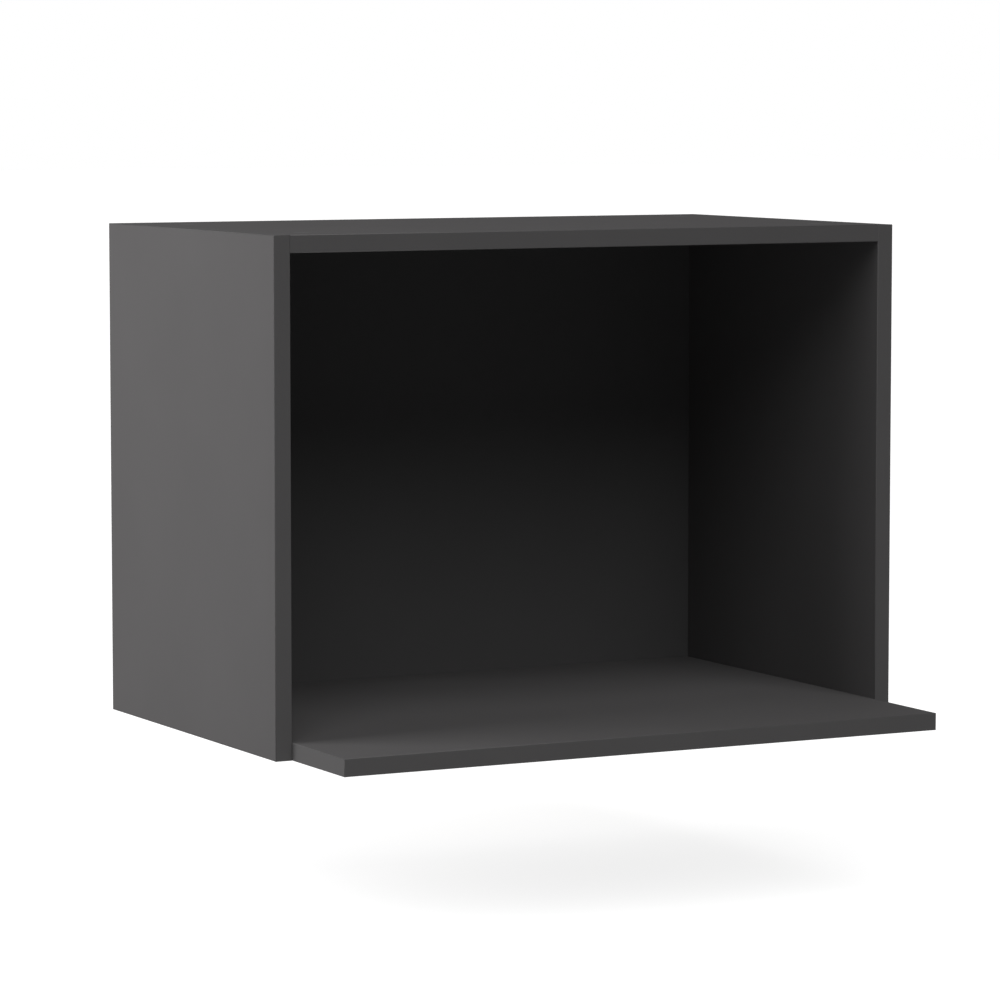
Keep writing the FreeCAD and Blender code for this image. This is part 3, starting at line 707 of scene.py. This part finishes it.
def board(name, node, thin, cutter_shapes):
    """A faced board with eased edges, less its holes and grooves, in the place of its node."""
    low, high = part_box(node)
    number = AXES.index(thin)
    core = chipboard("core_of_" + name, thin, (low[number] + high[number]) / 2)
    bm = bmesh.new()
    for face in block(bm, low, high):
        face.normal_update()
        face.material_index = int(abs(face.normal[number]) < MOSTLY)
    for face in ease(bm, bm.edges, BOARD_EASE, steps=2):
        face.material_index = 0
    item = new_object(name, bm, [melamine, core])
    shapes = bmesh.new()
    cutter_shapes(shapes, low, high)
    carve(item, new_object("cutter", shapes, [core]))
    settle(item, node)


print("the bay is", round((inner_right - inner_left) / MM), "mm wide")

# %% [markdown]
# A side board has a groove for the sheet, which stops short of both ends so that it doesn't show, and
# blind holes for the bolts' threads and for the tips of the dowels.

# %% Side boards
GROOVE_PLAY = 0.2 * MM
SHEET_PLAY = 0.3 * MM
THREAD_HOLE = 6.3 * MM
DOWEL_HOLE = 8.1 * MM
BLIND_SPARE = 1 * MM


def side_holes(inner):
    """Cuts of a side board: the groove of the back sheet, and the holes for bolts and dowels."""
    def shapes(bm, low, high):
        depth = sheet_high.x - inner_right + SHEET_PLAY
        span = sorted((inner, inner + math.copysign(depth, inner)))
        span = (span[0] - PAST, span[1]) if inner > 0 else (span[0], span[1] + PAST)
        block(bm, (span[0], sheet_low.y - GROOVE_PLAY, sheet_low.z),
              (span[1], sheet_high.y, sheet_high.z + SHEET_PLAY))
        for group in JOINED:
            for kind, wide in (("_cam_bolts", THREAD_HOLE), ("_dowels", DOWEL_HOLE)):
                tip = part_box(group + kind)[1].x + BLIND_SPARE
                start, stop = (inner - PAST, tip) if inner > 0 else (-tip, inner + PAST)
                for spot in along_x(group + kind):
                    peg(bm, spot, "x", wide / 2, start, stop)
    return shapes


board("left_side", "left_side_panel", "x", side_holes(inner_left))
board("right_side", "right_side_panel", "x", side_holes(inner_right))

# %% [markdown]
# The top and the shelf have cam bores in their outer face, bores for bolts and dowels in both ends,
# and the sheet's groove. The bands on the shelf's ends cross the same cuts, so the same function
# will drill them too.

# %% Top and shelf
BOLT_BORE = 8 * MM
DOWEL_LONG = 30 * MM


def end_bores(bm, group, ends):
    """Bores for bolts and dowels in from the ends of a board; ends holds the two end planes."""
    locks = cam_spots(group + "_cam_locks")
    dowel_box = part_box(group + "_dowels")
    reach = [min(spot[0] for spot in locks), max(spot[0] for spot in locks)]
    inside = (dowel_box[1].x - dowel_box[0].x) / 2
    for spot in along_x(group + "_cam_bolts"):
        peg(bm, spot, "x", BOLT_BORE / 2, ends[0] - PAST, reach[0])
        peg(bm, spot, "x", BOLT_BORE / 2, reach[1], ends[1] + PAST)
    for spot in along_x(group + "_dowels"):
        peg(bm, spot, "x", DOWEL_HOLE / 2, ends[0] - PAST, -inside + DOWEL_LONG + BLIND_SPARE)
        peg(bm, spot, "x", DOWEL_HOLE / 2, inside - DOWEL_LONG - BLIND_SPARE, ends[1] + PAST)


def level_holes(group, cams_above):
    """Cuts of the top or the shelf: bores for cams and caps, end bores and the sheet's groove."""
    def shapes(bm, low, high):
        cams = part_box(group + "_cam_locks")
        for spot in cam_spots(group + "_cam_locks"):
            if cams_above:
                peg(bm, spot, "z", CAM_BORE / 2, cams[0].z, high.z + PAST)
            else:
                peg(bm, spot, "z", CAM_BORE / 2, low.z - PAST, cams[1].z)
        end_bores(bm, group, (low.x, high.x))
        foot = low.z - PAST if cams_above else sheet_low.z
        head = sheet_high.z + SHEET_PLAY if cams_above else high.z + PAST
        block(bm, (low.x - PAST, sheet_low.y - GROOVE_PLAY, foot),
              (high.x + PAST, sheet_high.y, head))
    return shapes


board("top", "top_panel", "z", level_holes("top", True))
board("shelf", "base_panel", "z", level_holes("base", False))

# %% [markdown]
# The battens stand on edge behind the sheet, and the wall screws go through them. They carry the
# whole cabinet, so each is held by a bolt and a dowel at both ends.

# %% Battens
WALL_HOLE = 6.5 * MM
WALL_ACROSS = 450 * MM


def batten_holes(bm, low, high):
    """Cuts of a batten: cam bores from the wall's side, end bores and two holes for wall screws."""
    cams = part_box("batten_cam_locks")
    for spot in cam_spots("batten_cam_locks"):
        if low.z < spot[2] < high.z:
            peg(bm, spot, "y", CAM_BORE / 2, cams[0].y, high.y + PAST)
    for x in (-WALL_ACROSS / 2, WALL_ACROSS / 2):
        peg(bm, (x, 0, (low.z + high.z) / 2), "y", WALL_HOLE / 2, low.y - PAST, high.y + PAST)
    end_bores(bm, "batten", (low.x, high.x))


board("upper_wall_batten", "upper_batten", "y", batten_holes)
board("lower_wall_batten", "lower_batten", "y", batten_holes)

# %% [markdown]
# ## Edge bands
#
# The bands are strips of 1 mm plastic, glued on and trimmed with a round cutter. Only their outer
# corners are round. A band is a block with those edges bevelled at 0.6 mm in four steps.

# %% Edge bands
BAND_ROUND = 0.6 * MM
NEAR = 0.1 * MM


def edge_band(node, bare, sign, along, cutter_shapes=None):
    """A band that looks along an axis with a sign; its outer edges along the named axes are round."""
    low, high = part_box(node)
    number = AXES.index(bare)
    level = high[number] if sign > 0 else low[number]
    bm = bmesh.new()
    block(bm, low, high)
    chosen = []
    for edge in bm.edges:
        first, second = (vert.co for vert in edge.verts)
        run = (second - first).normalized()
        outer = abs(first[number] - level) < NEAR and abs(second[number] - level) < NEAR
        if outer and any(abs(run[AXES.index(axis)]) > MOSTLY for axis in along):
            chosen.append(edge)
    ease(bm, chosen, BAND_ROUND, steps=4)
    item = new_object(node.replace("_band", "_edging"), bm, [band_plastic])
    if cutter_shapes:
        shapes = bmesh.new()
        cutter_shapes(shapes, low, high)
        carve(item, new_object("cutter", shapes, [band_plastic]))
    settle(item, node)


for side in ("left", "right"):
    edge_band(side + "_side_front_band", "y", -1, "xz")
    edge_band(side + "_side_top_band", "z", 1, "y")
    edge_band(side + "_side_bottom_band", "z", -1, "y")
edge_band("top_front_band", "y", -1, "x")
edge_band("base_front_band", "y", -1, "xz")
edge_band("base_left_band", "x", -1, "y", level_holes("base", False))
edge_band("base_right_band", "x", 1, "y", level_holes("base", False))

# %% [markdown]
# ## Caps and cam locks
#
# Both are round fittings with a cross: it stands out under a cap and is sunk into a cam lock. One
# helper draws an outline up or down and closes it. A cap's underside is a circle with a cross in
# it, and `triangle_fill` is made for such nested outlines.

# %% Outlines
def outline(bm, points, level):
    """A closed outline through points at one level."""
    verts = [bm.verts.new((x, y, level)) for x, y in points]
    return [bm.edges.new((verts[number - 1], vert)) for number, vert in enumerate(verts)]


def cross_points(wide, long):
    """The twelve corners of a cross."""
    arm, corner = long / 2, wide / 2
    quarter = [(arm, -corner), (arm, corner), (corner, corner)]
    return [turn for step in range(4) for turn in
            [tuple(Matrix.Rotation(step * math.pi / 2, 2) @ Vector(point)) for point in quarter]]


def drawn(bm, edges, height):
    """Draws an outline up or down, closes its end, and gives the edges of that end."""
    made = bmesh.ops.extrude_edge_only(bm, edges=edges)
    moved = [item for item in made["geom"] if isinstance(item, bmesh.types.BMVert)]
    bmesh.ops.translate(bm, vec=(0, 0, height), verts=moved)
    rim = [item for item in made["geom"] if isinstance(item, bmesh.types.BMEdge)
           and all(vert in moved for vert in item.verts)]
    bmesh.ops.contextual_create(bm, geom=rim)
    return rim


print("a cross has", len(cross_points(1, 4)), "corners")

# %% [markdown]
# A cap is a 1 mm disc with an eased rim, which closes a cam bore. The cross under it is the stem that
# clips into the lock. One cap is made, and it is then copied into each bore.
#
# Each edge of the circle turns up at both its ends. `dict.fromkeys` drops the repeats and keeps the
# order, which a set would not.

# %% Cover caps
FITTING_SIDES = 64
CAP_THICK = 1 * MM
CAP_ROUND = 0.25 * MM
STEM_WIDE, STEM_LONG, STEM_TALL = 1.2 * MM, 8.8 * MM, 1.5 * MM


def cross_disc(bm, radius, level, wide, long):
    """A disc with a cross-shaped opening; gives the edges of the circle and of the cross."""
    made = bmesh.ops.create_circle(bm, cap_ends=False, segments=FITTING_SIDES, radius=radius)
    bmesh.ops.translate(bm, vec=(0, 0, level), verts=made["verts"])
    circle = list(dict.fromkeys(edge for vert in made["verts"] for edge in vert.link_edges))
    cross = outline(bm, cross_points(wide, long), level)
    bmesh.ops.triangle_fill(bm, use_beauty=True, use_dissolve=False, edges=circle + cross)
    return circle, cross


def copies(name, node, single, places, material):
    """One object of equal fittings: the single one, once for each matrix."""
    bm = bmesh.new()
    for place in places:
        part = single.copy()
        part.transform(place)
        bm.from_mesh(part)
    item = new_object(name, bm, [material])
    settle(item, node)


bm = bmesh.new()
circle, cross = cross_disc(bm, CAM_RADIUS, -CAP_THICK, STEM_WIDE, STEM_LONG)
drawn(bm, cross, -STEM_TALL)
rim = drawn(bm, circle, CAP_THICK)
ease(bm, rim, CAP_ROUND, steps=3)
bmesh.ops.recalc_face_normals(bm, faces=bm.faces)
cap = bpy.data.meshes.new("cap")
bm.to_mesh(cap)
bm.free()

for group, turn in (("top", Matrix()), ("base", Matrix.Rotation(math.pi, 4, "X"))):
    node = group + "_cover_caps"
    low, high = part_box(node)
    level = high.z if group == "top" else low.z
    places = [Matrix.Translation((spot[0], spot[1], level)) @ turn for spot in cam_spots(node)]
    copies(group + "_caps", node, cap, places, cap_plastic)

# %% [markdown]
# A cam lock is a cast zinc barrel with an off-centre hollow. The bolt's head goes in from the side,
# and half a turn with a screwdriver pulls it tight. The barrel starts as a round peg. Its face is
# inset and pressed down a little, which leaves the rim, and the rim is eased.

# %% Barrel of a cam lock
CAM_BELOW, CAM_ABOVE = 5 * MM, 6.4 * MM
CAM_RIM, CAM_DISH, CAM_ROUND = 0.9 * MM, 0.2 * MM, 0.3 * MM

bm = bmesh.new()
peg(bm, (0, 0, 0), "z", CAM_RADIUS, -CAM_BELOW, CAM_ABOVE, FITTING_SIDES)
bm.normal_update()
rims = [edge for edge in bm.edges if any(abs(face.normal.z) > MOSTLY for face in edge.link_faces)]
ease(bm, rims, CAM_ROUND, steps=3)
bm.normal_update()
top = max(bm.faces, key=lambda face: (round(face.normal.z, 3), face.calc_area()))
bmesh.ops.inset_region(bm, faces=[top], thickness=CAM_RIM, use_even_offset=True)
bmesh.ops.inset_region(bm, faces=[top], thickness=CAM_DISH, depth=-CAM_DISH, use_even_offset=True)
one_lock = new_object("cam_lock", bm, [zinc])
print("barrel with", len(one_lock.data.polygons), "faces")

# %% [markdown]
# The hollow, the way in, the slot for the bolt's neck, the cross and the arrow that points to the
# bolt are carved out of the barrel. The two marks are narrower at their floor, because a casting has
# to leave its mould.

# %% Hollow and marks
HEAD_WAY, NECK_WAY = 7.4 * MM, 4.6 * MM
HOLLOW_WIDE, HOLLOW_TALL, HOLLOW_ASIDE = 8.9 * MM, 7.7 * MM, 0.8 * MM
CROSS_WIDE, CROSS_LONG, CROSS_DEEP, CROSS_TAPER = 1.4 * MM, 9 * MM, 1.6 * MM, 0.72
ARROW_OUT, ARROW_IN, ARROW_HALF = 6.1 * MM, 4.9 * MM, 0.7 * MM
ARROW_DEEP, ARROW_TAPER = 0.45 * MM, 0.8


def mark(bm, points, level, depth, taper):
    """Adds the cutter of a sunk mark: an outline drawn down to a narrower floor."""
    edges = outline(bm, points, level)
    bmesh.ops.contextual_create(bm, geom=edges)
    floor_verts = {vert for edge in drawn(bm, edges, -depth) for vert in edge.verts}
    x, y = (sum(parts) / len(points) for parts in zip(*points))
    bmesh.ops.scale(bm, vec=(taper, taper, 1), space=Matrix.Translation((-x, -y, 0)),
                    verts=list(floor_verts))


cutter = bmesh.new()
peg(cutter, (HOLLOW_ASIDE, 0, 0), "z", HOLLOW_WIDE / 2, -HOLLOW_TALL / 2, HOLLOW_TALL / 2)
peg(cutter, (0, 0, 0), "y", HEAD_WAY / 2, 0, CAM_BORE)
block(cutter, (-CAM_BORE, -NECK_WAY / 2, -NECK_WAY / 2), (NECK_WAY / 2, CAM_BORE, NECK_WAY / 2))
mark(cutter, cross_points(CROSS_WIDE, CROSS_LONG), CAM_ABOVE, CROSS_DEEP, CROSS_TAPER)
arrow = [(-ARROW_OUT, 0), (-ARROW_IN, -ARROW_HALF), (-ARROW_IN, ARROW_HALF)]
mark(cutter, arrow, CAM_ABOVE, ARROW_DEEP, ARROW_TAPER)
carve(one_lock, new_object("cutter", cutter, [zinc]))
lock = one_lock.data.copy()
bpy.data.objects.remove(one_lock)
print("cam lock with", len(lock.polygons), "faces")

# %% [markdown]
# One lock is copied into the twelve bores. On each side of the cabinet it is turned so that its arrow
# looks at the nearer side board, and its cross looks out of the bore.

# %% Cam locks in their bores
HALF_TURN = {axis: Matrix.Rotation(math.pi, 4, axis) for axis in "XYZ"}
TO_WALL = Matrix.Rotation(-math.pi / 2, 4, "X")
LOCK_TURNS = {
    "top": (Matrix(), HALF_TURN["Z"]),
    "base": (HALF_TURN["X"], HALF_TURN["Y"]),
    "batten": (TO_WALL, HALF_TURN["Y"] @ TO_WALL),
}
BOARDS_WITH_LOCKS = {"top": "top_panel", "base": "base_panel", "batten": "upper_batten"}

for group, (left_turn, right_turn) in LOCK_TURNS.items():
    node = group + "_cam_locks"
    low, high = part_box(BOARDS_WITH_LOCKS[group])
    thin = 1 if group == "batten" else 2
    places = []
    for spot in cam_spots(node):
        middle = list(spot)
        middle[thin] = (low[thin] + high[thin]) / 2
        places.append(Matrix.Translation(middle) @ (left_turn if spot[0] < 0 else right_turn))
    copies(group + "_locks", node, lock, places, zinc)

# %% [markdown]
# ## What stays as it is
#
# Bolts and dowels sit inside the boards. Their shapes are already right, so they only get their
# finishes.

# %% Finishes for the fittings
def dress(node, material):
    """Gives a node's own object one material."""
    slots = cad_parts[node].data.materials
    slots.clear()
    slots.append(material)


for group in JOINED:
    dress(group + "_cam_bolts", steel)
    dress(group + "_dowels", beech)
print("dressed", 2 * len(JOINED), "nodes")
